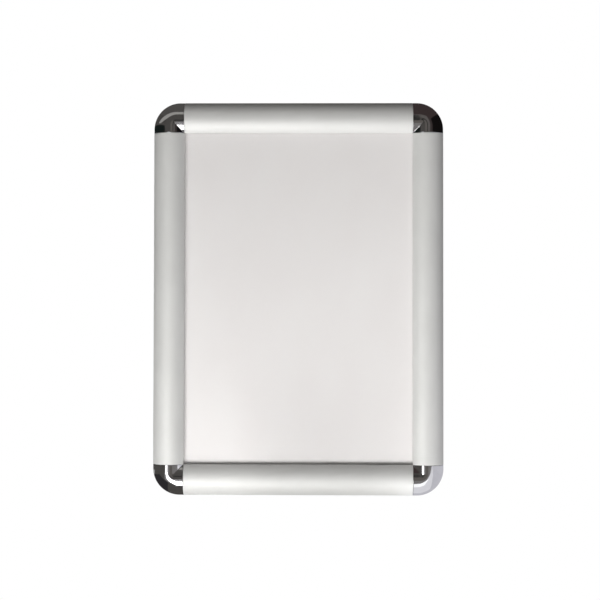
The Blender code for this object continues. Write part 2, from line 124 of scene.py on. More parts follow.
# Corner caps: the round of each line shrinks from the outer edge to ROUND_END, and from there on is a crease
CORNER_RADIUS = 22.6 * MM
ROUND_END = 18.4 * MM
CREASE_RADIUS = 0.4 * MM
CAP_WALL = 1.8 * MM
CAP_FOOT = 0.2 * MM
CAP_EDGE = 0.3 * MM
CAP_SEAM = 0.05 * MM
COVER_END_EDGE = 0.3 * MM
EDGE_HOLD = 0.05 * MM
BOSS_RADIUS = 3 * MM
BOSS_BORE_RADIUS = 1.55 * MM
BOSS_FOOT = 3.2 * MM
BOSS_BORE_END = 8.6 * MM

# The arch: a circle about DOME that runs into the knuckle circle about HINGE
CROWN = CROWN_SHARE * RAIL_FACE
HINGE = Vector((KNUCKLE_RADIUS, FLOOR + GAP + KNUCKLE_RADIUS))
HINGE_TO_CROWN = Vector((CROWN, RAIL_DEPTH)) - HINGE
DOME_RADIUS = (HINGE_TO_CROWN.length_squared - KNUCKLE_RADIUS**2) / (2 * (HINGE_TO_CROWN.y - KNUCKLE_RADIUS))
DOME = Vector((CROWN, RAIL_DEPTH - DOME_RADIUS))
KNUCKLE_TANGENT = math.atan2(HINGE.y - DOME.y, HINGE.x - DOME.x)
CLAW_BORE = KNUCKLE_RADIUS - CLAW_WALL
BEAD_RADIUS = CLAW_BORE - HINGE_GAP
SPRING_RIB = CHANNEL_START - RIB_WALL
SEAT_RIB = RAIL_FACE - COVER_WALL - SEAT_RIB_SETBACK

# Facets, small edge rounds and what counts as a sharp edge
FINE_STEP = math.radians(3)
BEND_STEPS = 36
EDGE_STEPS = 4
ROUND_SIDES = 48
EDGE_ROUND = 0.12 * MM
SCREW_EDGE_ROUND = EDGE_ROUND / 2
EDGE_SEGMENTS = 2
SHARP_ANGLE = math.radians(24)
EDGE_ANGLE = math.radians(35)
MERGE_DISTANCE = 0.001 * MM

RAILS = ("bottom", "right", "top", "left")
CORNERS = ("bottom_left", "bottom_right", "top_right", "top_left")
SET_SCREW_NUMBERS = (1, 2)

# Materials: where noise has most of its values, the sockets of a node that mixes colours, and the clear sheet
NOISE_LOW = 0.3
NOISE_HIGH = 0.7
MIX_FIRST = 6
MIX_SECOND = 7
MIX_RESULT = 2
SHEET_TINT = 0.97
SHEET_IOR = 1.53

# The camera, found by fitting the frame's edges in the photograph
CAMERA_PLACE = Vector((15.3 * MM, -1050 * MM, -21.3 * MM))
CAMERA_LENS = 73.9
CAMERA_YAW = math.radians(0.76)
CAMERA_PITCH = math.radians(1.10)
CAMERA_ROLL = math.radians(-0.089)

# The studio, in metres: what light the white world gives, and how white it and the floor look
WHITE = (1, 1, 1, 1)
WORLD_LIGHT = 0.02
WORLD_SEEN = 1
STUDIO_FLOOR = -0.75
STUDIO_FLOOR_RADIUS = 1.6
STUDIO_FLOOR_POINTS = 48
STUDIO_FLOOR_PAINT = (0.85, 0.85, 0.85, 1)
STUDIO_FLOOR_SEEN = 0.93

# The room that the metal mirrors. What lies on the ground or the board is lifted by layers
ROOM_SIDE = 1.7
ROOM_FRONT = -2.4
ROOM_BACK = 1.7
ROOM_TOP = 1.5
LEFT_WALL_BAND = 0.6
RIGHT_WALL_BAND = 0
FRONT_WALL_SPLIT = 0.95
GROUND = -0.40
GROUND_SPLIT = 0.03
GROUND_BACK = 0.3
STAND = -1.13
LAYER = 0.001

# Flats: name and colour, then two opposite corners
FLATS = (
    ("ceiling_left", (0.085, 0.08, 0.075),
     (-ROOM_SIDE, ROOM_FRONT, ROOM_TOP), (0, ROOM_BACK, ROOM_TOP)),
    ("ceiling_right", (0.045, 0.033, 0.032),
     (0, ROOM_FRONT, ROOM_TOP), (ROOM_SIDE, ROOM_BACK, ROOM_TOP)),
    ("left_wall_top", (0.07, 0.065, 0.06),
     (-ROOM_SIDE, ROOM_BACK, LEFT_WALL_BAND), (-ROOM_SIDE, ROOM_FRONT, ROOM_TOP)),
    ("left_wall_middle", (0.009, 0.012, 0.011),
     (-ROOM_SIDE, ROOM_BACK, 0), (-ROOM_SIDE, ROOM_FRONT, LEFT_WALL_BAND)),
    ("left_wall_low", (0.08, 0.075, 0.07),
     (-ROOM_SIDE, ROOM_BACK, GROUND), (-ROOM_SIDE, ROOM_FRONT, 0)),
    ("right_wall", (0.006, 0.005, 0.005),
     (ROOM_SIDE, ROOM_FRONT, RIGHT_WALL_BAND), (ROOM_SIDE, ROOM_BACK, ROOM_TOP)),
    ("right_wall_low", (0.2, 0.2, 0.21),
     (ROOM_SIDE, ROOM_FRONT, GROUND), (ROOM_SIDE, ROOM_BACK, RIGHT_WALL_BAND)),
    ("front_left", (0.075, 0.07, 0.065),
     (-ROOM_SIDE, ROOM_FRONT, GROUND), (0, ROOM_FRONT, ROOM_TOP)),
    ("front_right", (0.11, 0.10, 0.095),
     (0, ROOM_FRONT, GROUND), (FRONT_WALL_SPLIT, ROOM_FRONT, ROOM_TOP)),
    ("front_far_right", (0.045, 0.036, 0.035),
     (FRONT_WALL_SPLIT, ROOM_FRONT, GROUND), (ROOM_SIDE, ROOM_FRONT, ROOM_TOP)),
    ("ground_left", (0.075, 0.07, 0.065),
     (-ROOM_SIDE, ROOM_FRONT, GROUND), (GROUND_SPLIT, GROUND_BACK, GROUND)),
    ("ground_right", (0.2, 0.19, 0.185),
     (GROUND_SPLIT, ROOM_FRONT, GROUND), (ROOM_SIDE, GROUND_BACK, GROUND)),
    ("ground_back", (0.45, 0.45, 0.44),
     (-ROOM_SIDE, GROUND_BACK, GROUND), (ROOM_SIDE, ROOM_BACK, GROUND)),
    ("dark_bar", (0.015, 0.015, 0.015),
     (-0.8, STAND, 0.04), (0.2, STAND, 0.12)),
    ("dark_stand", (0.015, 0.015, 0.015),
     (0.13, STAND, 0.12), (0.2, STAND, 0.7)),
)

# The outlines of level things, seen from above: an overhead bar, the near edge of a board, a table top
OVERHEAD_BAR = 0.45
OVERHEAD_BAR_OUTLINE = (
    (0.03, -0.30), (-0.15, -0.30), (-0.26, -0.24), (-0.42, -0.19), (-0.65, -0.13),
    (-0.95, -0.10), (-0.95, -0.35), (-0.50, -0.50), (-0.27, -0.50), (0.03, -0.50),
)
BOARD = -0.19
BOARD_EDGE = (
    (0.09, -0.061), (0.107, -0.072), (0.136, -0.127),
    (0.156, -0.195), (0.224, -0.318), (0.29, -0.375),
)
TABLE_TOP = GROUND + 2 * LAYER
TABLE_OUTLINE = (
    (-0.09, -0.27), (-0.185, -0.76), (-0.25, -1.03), (-0.38, -1.55), (-0.66, -2.2),
    (-0.74, -2.38), (-1.05, -2.38), (-0.58, -1.16), (-0.455, -0.75), (-0.37, -0.56),
    (-0.289, -0.456), (-0.24, -0.42), (-0.19, -0.37), (-0.14, -0.275),
)
TABLE_COLOUR = (1, 0.99, 0.98)
TABLE_STRENGTH = 4.0

# Level patches: name, height and colour, then the outline
PATCHES = (
    ("ground_dark", GROUND + LAYER, (0.03, 0.028, 0.03),
     ((-0.9, -0.35), (-0.3, -0.3), (-0.2, 0.3), (-0.9, 0.5))),
    ("table_halo", GROUND + LAYER, (0.26, 0.25, 0.25),
     ((0.02, -0.22), (0.1, ROOM_FRONT), (-1.35, ROOM_FRONT), (-0.45, -0.4))),
    ("overhead_bar", OVERHEAD_BAR, (0.33, 0.32, 0.30),
     OVERHEAD_BAR_OUTLINE),
    ("board", BOARD, (0.60, 0.59, 0.63),
     BOARD_EDGE + ((0.9, -1.6), (1.6, -1.6), (1.6, ROOM_BACK), (0.09, ROOM_BACK))),
    ("board_pale", BOARD + LAYER, (0.80, 0.79, 0.82),
     BOARD_EDGE + ((0.34, -0.34), (0.20, -0.12), (0.13, -0.005), (0.09, -0.005))),
    ("board_bright", BOARD + 2 * LAYER, (1.2, 1.2, 1.2),
     BOARD_EDGE[:3] + ((0.15, -0.125), (0.12, -0.045), (0.09, -0.030))),
)

# A card in front, where whoever takes the picture stands
PERSON = {"azimuth": 3, "elevation": 4, "distance": 1.4, "width": 0.42, "height": 1.1}
PERSON_COLOUR = (0.12, 0.11, 0.10)

# Lamps: name, place, width, height and watts. The flag keeps a little of the low one off the panel
SOFTBOXES = (
    ("low_softbox", (0, -1.6, -1.6), 1.5, 1.2, 33.5),
    ("front_softbox", (0, -1.6, -0.8), 1.2, 1.0, 5),
    ("near_softbox", (0, -0.6, -0.6), 0.4, 0.3, 1.6),
    ("left_softbox", (-0.45, -0.45, -0.45), 0.3, 0.3, 2.6),
    ("far_left_softbox", (-0.6, -0.9, -0.35), 0.4, 0.4, 1.0),
    ("top_softbox", (0, -1.2, 1.0), 1.0, 1.0, 2.0),
    ("back_softbox", (0.4, 1.6, 0.5), 1.6, 1.6, 27),
)
FLAG_CORNERS = ((0.0, -0.12, -0.45), (0.033, -0.12, -0.17))


# Sections

def arc(centre, radius, start, end):
    """Points of an arc from angle start to angle end, both ends included."""
    steps = max(1, math.ceil(abs(end - start) / FINE_STEP))
    angles = [start + (end - start) * step / steps for step in range(steps + 1)]
    return [centre + radius * Vector((math.cos(a), math.sin(a))) for a in angles]


def dome_angle(u, inset):
    """The angle about DOME at which the arch, inset by a wall, stands at u."""
    return math.acos((u - DOME.x) / (DOME_RADIUS - inset))


def dome_height(u, inset):
    return DOME.y + (DOME_RADIUS - inset) * math.sin(dome_angle(u, inset))


def arch(inset, knuckle_start, end):
    """The arch inset by a wall: round the knuckle, over the crown, and on to the angle end about DOME."""
    knuckle = arc(HINGE, KNUCKLE_RADIUS - inset, knuckle_start, KNUCKLE_TANGENT)
    rise = arc(DOME, DOME_RADIUS - inset, KNUCKLE_TANGENT, math.pi / 2)
    fall = arc(DOME, DOME_RADIUS - inset, math.pi / 2, end)
    return knuckle + rise[1:] + fall[1:]


def rounded_arch(inner_edge):
    """The outer face of the arch with its inner edge rounded off into the vertical face at inner_edge."""
    edge_centre_u = inner_edge - INNER_EDGE_RADIUS
    turn = dome_angle(edge_centre_u, INNER_EDGE_RADIUS)
    edge_centre = Vector((edge_centre_u, dome_height(edge_centre_u, INNER_EDGE_RADIUS)))
    return arch(0, CLAW_END, turn) + arc(edge_centre, INNER_EDGE_RADIUS, turn, 0)[1:]


def notch(face_u, inward, middle_w):
    """A square notch in a rib's face, drawn upwards. It runs inward, towards +u or -u, from face_u."""
    bottom = middle_w - NOTCH_HEIGHT / 2
    top = middle_w + NOTCH_HEIGHT / 2
    deep = face_u + inward * NOTCH_DEPTH
    return [Vector((face_u, bottom)), Vector((deep, bottom)), Vector((deep, top)), Vector((face_u, top))]


def spring_rib_top():
    return dome_height(SPRING_RIB, COVER_WALL) - GAP


def base_notch_middle():
    return spring_rib_top() - NOTCH_LIP - NOTCH_HEIGHT / 2


def cover_notch_middle():
    return LIP_END + NOTCH_LIP + NOTCH_HEIGHT / 2


def cover_section():
    """The front cover: arch, inner lip, spring seat rib and the claw that turns on the base rail's bead."""
    lip_inner = RAIL_FACE - COVER_WALL
    seat_rib_back = SEAT_RIB + RIB_WALL
    inner_radius = DOME_RADIUS - COVER_WALL
    outline = rounded_arch(RAIL_FACE)
    outline += [Vector((RAIL_FACE, LIP_END)), Vector((lip_inner, LIP_END))]
    lip_angle = dome_angle(lip_inner, COVER_WALL)
    outline += arc(DOME, inner_radius, lip_angle, dome_angle(seat_rib_back, COVER_WALL))
    outline += [Vector((seat_rib_back, LIP_END)), Vector((SEAT_RIB, LIP_END))]
    outline += notch(SEAT_RIB, 1, cover_notch_middle())
    reach = DOME_RADIUS - KNUCKLE_RADIUS
    across = (inner_radius**2 - reach**2 - KNUCKLE_RADIUS**2) / (2 * reach * KNUCKLE_RADIUS)
    claw_top = KNUCKLE_TANGENT - math.acos(across)
    meeting = HINGE + KNUCKLE_RADIUS * Vector((math.cos(claw_top), math.sin(claw_top)))
    outline += arc(DOME, inner_radius, dome_angle(SEAT_RIB, COVER_WALL), dome_angle(meeting.x, COVER_WALL))
    outline += arc(HINGE, KNUCKLE_RADIUS, claw_top, CLAW_START)[1:]
    outline += arc(HINGE, CLAW_BORE, CLAW_START, CLAW_END)
    return outline


def channel_outline():
    """The stop rib, and the connector channel with a retainer over each of its sides."""
    retainer_top = RETAINER_BACK + RETAINER_HEIGHT
    inner_reach = CHANNEL_END - RETAINER_REACH
    outer_reach = CHANNEL_START + RETAINER_REACH
    return [
        Vector((STOP_RIB_FACE, FLOOR)),
        Vector((STOP_RIB_FACE, retainer_top)),
        Vector((inner_reach, retainer_top)),
        Vector((inner_reach, RETAINER_BACK)),
        Vector((CHANNEL_END, RETAINER_BACK)),
        Vector((CHANNEL_END, FLOOR)),
        Vector((CHANNEL_START, FLOOR)),
        Vector((CHANNEL_START, RETAINER_BACK)),
        Vector((outer_reach, RETAINER_BACK)),
        Vector((outer_reach, retainer_top)),
        Vector((CHANNEL_START, retainer_top)),
    ]


def base_section():
    """The base rail: floor, kerb, the hinge's stem and bead, spring rib, connector channel and stop rib."""
    ledge_end = RAIL_FACE - LEDGE_SETBACK
    along = Vector((math.cos(STEM_ANGLE), math.sin(STEM_ANGLE)))
    side = Vector((-along.y, along.x)) * STEM_WALL / 2
    leaves_bead = math.asin(STEM_WALL / 2 / BEAD_RADIUS)
    stem_right = HINGE + side
    stem_left = HINGE - side
    right_foot = stem_right + along * (stem_right.y - FLOOR) / -along.y
    left_foot = stem_left + along * (stem_left.y - FLOOR) / -along.y
    outline = [Vector((FLOOR_SETBACK, 0)), Vector((ledge_end, 0)), Vector((ledge_end, FLOOR))]
    outline += channel_outline()
    outline += notch(CHANNEL_START, -1, base_notch_middle())
    outline += [
        Vector((CHANNEL_START, spring_rib_top())),
        Vector((SPRING_RIB, spring_rib_top())),
        Vector((SPRING_RIB, FLOOR)),
        right_foot,
    ]
    outline += arc(HINGE, BEAD_RADIUS, STEM_ANGLE + leaves_bead, STEM_ANGLE + 2 * math.pi - leaves_bead)
    outline += [
        left_foot,
        Vector((FLOOR_SETBACK + KERB_WIDTH, FLOOR)),
        Vector((FLOOR_SETBACK + KERB_WIDTH / 2, FLOOR + KERB_HEIGHT)),
        Vector((FLOOR_SETBACK, FLOOR + KERB_HEIGHT)),
    ]
    return outline


def spring_ends():
    """The middles of a leaf spring's two ends, in the base rail's notch and in the cover's."""
    start = Vector((CHANNEL_START - NOTCH_DEPTH + GAP, base_notch_middle()))
    end = Vector((SEAT_RIB + NOTCH_DEPTH - GAP, cover_notch_middle()))
    return start, end


def spring_section():
    """A leaf spring: a strip bent to an arc between the notch of the base rail and that of the cover."""
    start, end = spring_ends()
    chord = end - start
    radius = (chord.length_squared / 4 + SPRING_RISE**2) / (2 * SPRING_RISE)
    down = Vector((chord.y, -chord.x)).normalized()
    centre = (start + end) / 2 + down * (radius - SPRING_RISE)
    first = math.atan2(start.y - centre.y, start.x - centre.x)
    last = math.atan2(end.y - centre.y, end.x - centre.x)
    outside = arc(centre, radius + SPRING_STRIP / 2, first, last)
    return outside + arc(centre, radius - SPRING_STRIP / 2, last, first)


def rounded(section, radius):
    """A closed section with a small round on each corner that turns by more than EDGE_ANGLE."""
    outline = []
    for before, point, after in zip(section[-1:] + section[:-1], section, section[1:] + section[:1]):
        back = (before - point).normalized()
        on = (after - point).normalized()
        if math.pi - back.angle(on) < EDGE_ANGLE:
            outline.append(point)
            continue
        first = point + back * radius
        last = point + on * radius
        outline += [first, first.lerp(point, 0.5).lerp(point.lerp(last, 0.5), 0.5), last]
    return outline


def set_in(profile, amount):
    """A closed profile moved inwards by amount. It runs clockwise, so its right-hand side is inside."""
    moved_in = []
    for before, point, after in zip(profile[-1:] + profile[:-1], profile, profile[1:] + profile[:1]):
        along = ((point - before).normalized() + (after - point).normalized()).normalized()
        moved_in.append(point + Vector((along.y, -along.x)) * amount)
    return moved_in


# Meshes

def mesh_of(shape, name):
    """The mesh of a shape, with its faces turned outwards. The shape goes."""
    bmesh.ops.recalc_face_normals(shape, faces=shape.faces)
    mesh = bpy.data.meshes.new(name)
    shape.to_mesh(mesh)
    shape.free()
    return smooth(mesh)


def smooth(mesh):
    mesh.shade_smooth()
    mesh.set_sharp_from_angle(angle=SHARP_ANGLE)
    return mesh


def prism(name, outline, direction):
    """The flat outline, a list of 3-D points, carried along direction."""
    shape = bmesh.new()
    face = shape.faces.new([shape.verts.new(point) for point in outline])
    carried = bmesh.ops.extrude_face_region(shape, geom=[face])["geom"]
    moved_points = [item for item in carried if isinstance(item, bmesh.types.BMVert)]
    bmesh.ops.translate(shape, verts=moved_points, vec=direction)
    return mesh_of(shape, name)


def rail_prism(name, section, length):
    """A section carried along s, to a length."""
    outline = [Vector((-length / 2, point.x, point.y)) for point in section]
    return prism(name, outline, Vector((length, 0, 0)))


def end_rounds(profile, edge):
    """How a profile ends in a round: (distance short of the end, profile) pairs, from the end backwards."""
    turns = [math.pi / 2 * step / EDGE_STEPS for step in range(EDGE_STEPS + 1)]
    layers = [(edge - edge * math.cos(a), set_in(profile, edge - edge * math.sin(a))) for a in turns]
    return layers + [(edge + EDGE_HOLD, profile)]


def rounded_bar(name, section, length, edge):
    """A section carried along s, with a round on the outline of both ends."""
    layers = end_rounds(section, edge)
    stations = [(short - length / 2, layer) for short, layer in layers]
    stations += [(length / 2 - short, layer) for short, layer in reversed(layers)]
    shape = bmesh.new()
    rings = [[shape.verts.new((s, point.x, point.y)) for point in layer] for s, layer in stations]
    for ring, after in zip(rings, rings[1:]):
        for i in range(len(ring)):
            shape.faces.new((ring[i - 1], ring[i], after[i], after[i - 1]))
    shape.faces.new(rings[0])
    shape.faces.new(reversed(rings[-1]))
    bmesh.ops.remove_doubles(shape, verts=shape.verts, dist=MERGE_DISTANCE)
    return mesh_of(shape, name)


def turned(name, profile, sides):
    """A solid of revolution about Z from (radius, height) points that start and end on the axis."""
    shape = bmesh.new()
    points = [shape.verts.new((radius, 0, height)) for radius, height in profile]
    edges = [shape.edges.new(pair) for pair in zip(points, points[1:])]
    bmesh.ops.spin(
        shape,
        geom=points + edges,
        axis=(0, 0, 1),
        cent=(0, 0, 0),
        steps=sides,
        angle=2 * math.pi,
        use_duplicate=False,
    )
    bmesh.ops.remove_doubles(shape, verts=shape.verts, dist=MERGE_DISTANCE)
    return mesh_of(shape, name)


def cylinder(name, radius, low, high):
    return turned(name, [(0, low), (radius, low), (radius, high), (0, high)], ROUND_SIDES)


def evaluated(holder, name):
    """The mesh of an object after its modifiers. The object goes."""
    bpy.context.view_layer.update()
    result = bpy.data.meshes.new_from_object(holder.evaluated_get(bpy.context.evaluated_depsgraph_get()))
    result.name = name
    bpy.data.objects.remove(holder)
    return result


def carved(mesh, cutter_meshes):
    """The mesh less the cutters."""
    target = bpy.data.objects.new("carving", mesh)
    bpy.context.collection.objects.link(target)
    helpers = []
    for cutter_mesh in cutter_meshes:
        helper = bpy.data.objects.new("cutter", cutter_mesh)
        bpy.context.collection.objects.link(helper)
        helpers.append(helper)
        cut = target.modifiers.new("cut", "BOOLEAN")
        cut.operation = "DIFFERENCE"
        cut.object = helper
    result = evaluated(target, mesh.name)
    for helper in helpers:
        bpy.data.objects.remove(helper)
    return smooth(closed(result))


def closed(mesh):
    """The mesh with the slivers filled that a cut left open."""
    shape = bmesh.new()
    shape.from_mesh(mesh)
    open_edges = [edge for edge in shape.edges if len(edge.link_faces) == 1]
    bmesh.ops.holes_fill(shape, edges=open_edges)
    shape.to_mesh(mesh)
    shape.free()
    return mesh


def moved(mesh, offset):
    mesh.transform(Matrix.Translation(offset))
    return mesh


def round_edges(piece, width):
    """A small round on every sharp edge, with the flat faces kept flat in the shading."""
    bevel = piece.modifiers.new("edges", "BEVEL")
    bevel.width = width
    bevel.segments = EDGE_SEGMENTS
    bevel.limit_method = "ANGLE"
    bevel.angle_limit = EDGE_ANGLE
    bevel.harden_normals = True
    bevel.use_clamp_overlap = True


def corner_contour(u, first_u, radius, reach):
    """The line at depth u round a corner: straight, round, straight. Its round shrinks to a narrow crease."""
    bend = max(CREASE_RADIUS, radius * (ROUND_END - u) / (ROUND_END - first_u))
    bend = min(bend, reach - u)
    turns = [math.pi / 2 * step / BEND_STEPS for step in range(BEND_STEPS + 1)]
    return [(u + bend - bend * math.sin(a), u + bend - bend * math.cos(a)) for a in turns]


def corner_sweep(name, profile, first_u, radius, reach, edge):
    """A closed (u, w) profile swept round a corner, from the plane x = reach to the plane y = reach.

    Both ends have a round of radius edge on their outline.
    """
    layers = end_rounds(profile, edge)
    straight_end = reach - layers[-1][0]
    shape = bmesh.new()
    rings = []
    for number, point in enumerate(profile):
        line = corner_contour(point.x, first_u, radius, max(straight_end, point.x))
        middle = [(x, y, point.y) for x, y in line]
        ends = [(reach - short, layer[number]) for short, layer in layers]
        first = [(max(x, place.x), place.x, place.y) for x, place in ends]
        last = [(y, x, w) for x, y, w in reversed(first)]
        rings.append([shape.verts.new(place) for place in first + middle + last])
    for ring, after in zip(rings, rings[1:] + rings[:1]):
        for i in range(len(ring) - 1):
            shape.faces.new((ring[i], ring[i + 1], after[i + 1], after[i]))
    shape.faces.new([ring[0] for ring in reversed(rings)])
    shape.faces.new([ring[-1] for ring in rings])
    bmesh.ops.remove_doubles(shape, verts=shape.verts, dist=MERGE_DISTANCE)
    return mesh_of(shape, name)


def cap_mesh():
    """A corner cap: the arch swept round the corner, hollowed to a wall, with a screw boss inside."""
    inner_edge = RAIL_FACE - GAP / 2
    lip_inner = inner_edge - CAP_WALL
    core_side = lip_inner - OVERRUN
    outer = [Vector((0, CAP_FOOT))] + rounded_arch(inner_edge)
    outer += [Vector((inner_edge, LIP_END)), Vector((core_side, LIP_END)), Vector((core_side, CAP_FOOT))]
    core = [Vector((CAP_WALL, -OVERRUN))]
    core += arch(CAP_WALL, CLAW_END, dome_angle(lip_inner, CAP_WALL))
    core += [Vector((lip_inner, -OVERRUN))]
    body = corner_sweep("corner_cap", outer, 0, CORNER_RADIUS, RAIL_FACE + GAP / 2 - CAP_SEAM, CAP_EDGE)
    hollow = corner_sweep("cap_core", core, CAP_WALL, CORNER_RADIUS - CAP_WALL, RAIL_FACE + OVERRUN, 0)
    low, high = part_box("bottom_left_cap_screw")
    place = Vector(((low.x + high.x) / 2 - CAD_BOX[0].x, (low.z + high.z) / 2 - CAD_BOX[0].z, 0))
    boss = cylinder("boss", BOSS_RADIUS, BOSS_FOOT, RAIL_DEPTH)
    bore = cylinder("bore", BOSS_BORE_RADIUS, BOSS_FOOT - OVERRUN, BOSS_BORE_END)
    hollow = carved(hollow, [moved(boss, place)])
    return carved(body, [hollow, moved(bore, place)])


def drilled_rail(mesh, length):
    """A long base rail with its countersunk wall-fixing holes."""
    profile = [
        (0, -OVERRUN),
        (FIXING_HOLE_RADIUS, -OVERRUN),
        (FIXING_HOLE_RADIUS, FLOOR - FIXING_SINK_DEPTH),
        (FIXING_SINK_RADIUS, FLOOR),
        (FIXING_SINK_RADIUS, FLOOR + GAP),
        (0, FLOOR + GAP),
    ]
    middle = (CHANNEL_START + CHANNEL_END) / 2
    holes = []
    for share in FIXING_PLACE_SHARES:
        holes.append(moved(turned("fixing_hole", profile, ROUND_SIDES), Vector((share * length, middle, 0))))
    return carved(mesh, holes)


# Materials

def node(tree, kind, settings=None, **inputs):
    """A shader node. Its inputs take a value or another node's output.

    An input's name has _ for each space in it. An input that goes by its number is called i0, i1 and so on.
    """
    made = tree.nodes.new(kind)
    for name, value in (settings or {}).items():
        setattr(made, name, value)
    for name, value in inputs.items():
        numbered = name[0] == "i" and name[1:].isdigit()
        socket = made.inputs[int(name[1:]) if numbered else name.replace("_", " ")]
        if isinstance(value, bpy.types.NodeSocket):
            tree.links.new(value, socket)
        else:
            socket.default_value = value
    return made


def new_material(name):
    """A new material, its node tree and its shader."""
    made = bpy.data.materials.new(name)
    made.use_nodes = True
    tree = made.node_tree
    return made, tree, tree.nodes["Principled BSDF"]


def bare_material(name):
    """A new material and its node tree, with nothing that feeds its surface."""
    made, tree, shader = new_material(name)
    tree.nodes.remove(shader)
    return made, tree


def show_surface(tree, shader_output):
    tree.links.new(shader_output, tree.nodes["Material Output"].inputs["Surface"])


def stretched_noise(tree, scale, detail=3, roughness=0.55):
    """Noise in the piece's own axes, with its own scale (per metre) along s, u and w."""
    place = node(tree, "ShaderNodeTexCoord").outputs["Object"]
    mapped = node(tree, "ShaderNodeMapping", Vector=place, Scale=scale).outputs["Vector"]
    noise = node(tree, "ShaderNodeTexNoise", Vector=mapped, Scale=1, Detail=detail, Roughness=roughness)
    return noise.outputs["Fac"]


def mapped_range(tree, value, low, high, from_low=NOISE_LOW, from_high=NOISE_HIGH):
    """The value with its range from from_low to from_high stretched to one from low to high."""
    stretch = node(tree, "ShaderNodeMapRange", Value=value, To_Min=low, To_Max=high)
    stretch.inputs["From Min"].default_value = from_low
    stretch.inputs["From Max"].default_value = from_high
    return stretch.outputs["Result"]


def mixed_colour(tree, share, first, second):
    mix = node(tree, "ShaderNodeMix", {"data_type": "RGBA"}, i0=share)
    mix.inputs[MIX_FIRST].default_value = (*first, 1)
    mix.inputs[MIX_SECOND].default_value = (*second, 1)
    return mix.outputs[MIX_RESULT]


def bump(tree, height, distance):
    return node(tree, "ShaderNodeBump", Height=height, Distance=distance, Strength=1).outputs["Normal"]


def finish(name, gloss_noise, colour_noise, colours, roughness, relief, relief_from_colour=False, metallic=0):
    """A procedural finish. One noise varies its gloss and the other its colour, each between two values.

    The relief follows the gloss, or else the colour.
    """
    made, tree, shader = new_material(name)
    gloss = stretched_noise(tree, **gloss_noise)
    tint = stretched_noise(tree, **colour_noise)
    colour = mixed_colour(tree, mapped_range(tree, tint, 0, 1), *colours)
    tree.links.new(colour, shader.inputs["Base Color"])
    tree.links.new(mapped_range(tree, gloss, *roughness), shader.inputs["Roughness"])
    tree.links.new(bump(tree, tint if relief_from_colour else gloss, relief), shader.inputs["Normal"])
    shader.inputs["Metallic"].default_value = metallic
    return made


def satin_aluminium():
    """Silver anodised extrusion: a soft satin with faint drawing lines along the rail."""
    return finish(
        "satin_aluminium",
        gloss_noise={"scale": (6, 2600, 2600)},
        colour_noise={"scale": (25, 60, 60)},
        colours=((0.785, 0.785, 0.765), (0.825, 0.825, 0.805)),
        roughness=(0.46, 0.56),
        relief=0.004 * MM,
        metallic=0.45,
    )


def mill_aluminium():
    """Untreated extrusion: duller, with stronger die lines and a faint stain."""
    return finish(
        "mill_aluminium",
        gloss_noise={"scale": (4, 1500, 1500), "detail": 5},
        colour_noise={"scale": (40, 90, 90), "detail": 5},
        colours=((0.58, 0.58, 0.59), (0.68, 0.68, 0.68)),
        roughness=(0.36, 0.52),
        relief=0.012 * MM,
        metallic=1,
    )


def chrome_plate():
    """Bright chrome on moulded plastic: nearly a mirror, with a slight ripple and fine wipe marks."""
    return finish(
        "chrome_plate",
        gloss_noise={"scale": (300, 2400, 900), "detail": 4},
        colour_noise={"scale": (160, 160, 160), "detail": 1},
        colours=((0.78, 0.785, 0.80), (0.82, 0.825, 0.84)),
        roughness=(0.05, 0.10),
        relief=0.02 * MM,
        relief_from_colour=True,
        metallic=1,
    )


def zinc_plate():
    """Zinc plated steel with a faint yellow and blue passivation."""
    return finish(
        "zinc_plated_steel",
        gloss_noise={"scale": (2500, 2500, 2500), "detail": 3},
        colour_noise={"scale": (220, 220, 220), "detail": 4},
        colours=((0.58, 0.60, 0.65), (0.66, 0.65, 0.58)),
        roughness=(0.26, 0.42),
        relief=0.01 * MM,
        metallic=1,
    )


def spring_steel():
    """Blued strip with rolling lines along the strip."""
    return finish(
        "spring_steel",
        gloss_noise={"scale": (2200, 40, 40), "detail": 4},
        colour_noise={"scale": (90, 120, 120), "detail": 2},
        colours=((0.30, 0.33, 0.40), (0.44, 0.43, 0.42)),
        roughness=(0.24, 0.38),
        relief=0.008 * MM,
        metallic=1,
    )


def white_polystyrene():
    """The backing panel: matt white sheet with a faint moulded grain."""
    return finish(
        "white_polystyrene",
        gloss_noise={"scale": (1800, 1800, 1800), "detail": 2},
        colour_noise={"scale": (18, 18, 18), "detail": 3},
        colours=((0.80, 0.80, 0.785), (0.84, 0.84, 0.83)),
        roughness=(0.46, 0.58),
        relief=0.01 * MM,
    )


def white_paper():
    """The blank insert: uncoated paper with fibres and a faint mottle."""
    return finish(
        "white_paper",
        gloss_noise={"scale": (2600, 2600, 900), "detail": 5, "roughness": 0.7},
        colour_noise={"scale": (30, 30, 14), "detail": 3},
        colours=((0.80, 0.775, 0.765), (0.82, 0.80, 0.79)),
        roughness=(0.78, 0.92),
        relief=0.02 * MM,
    )


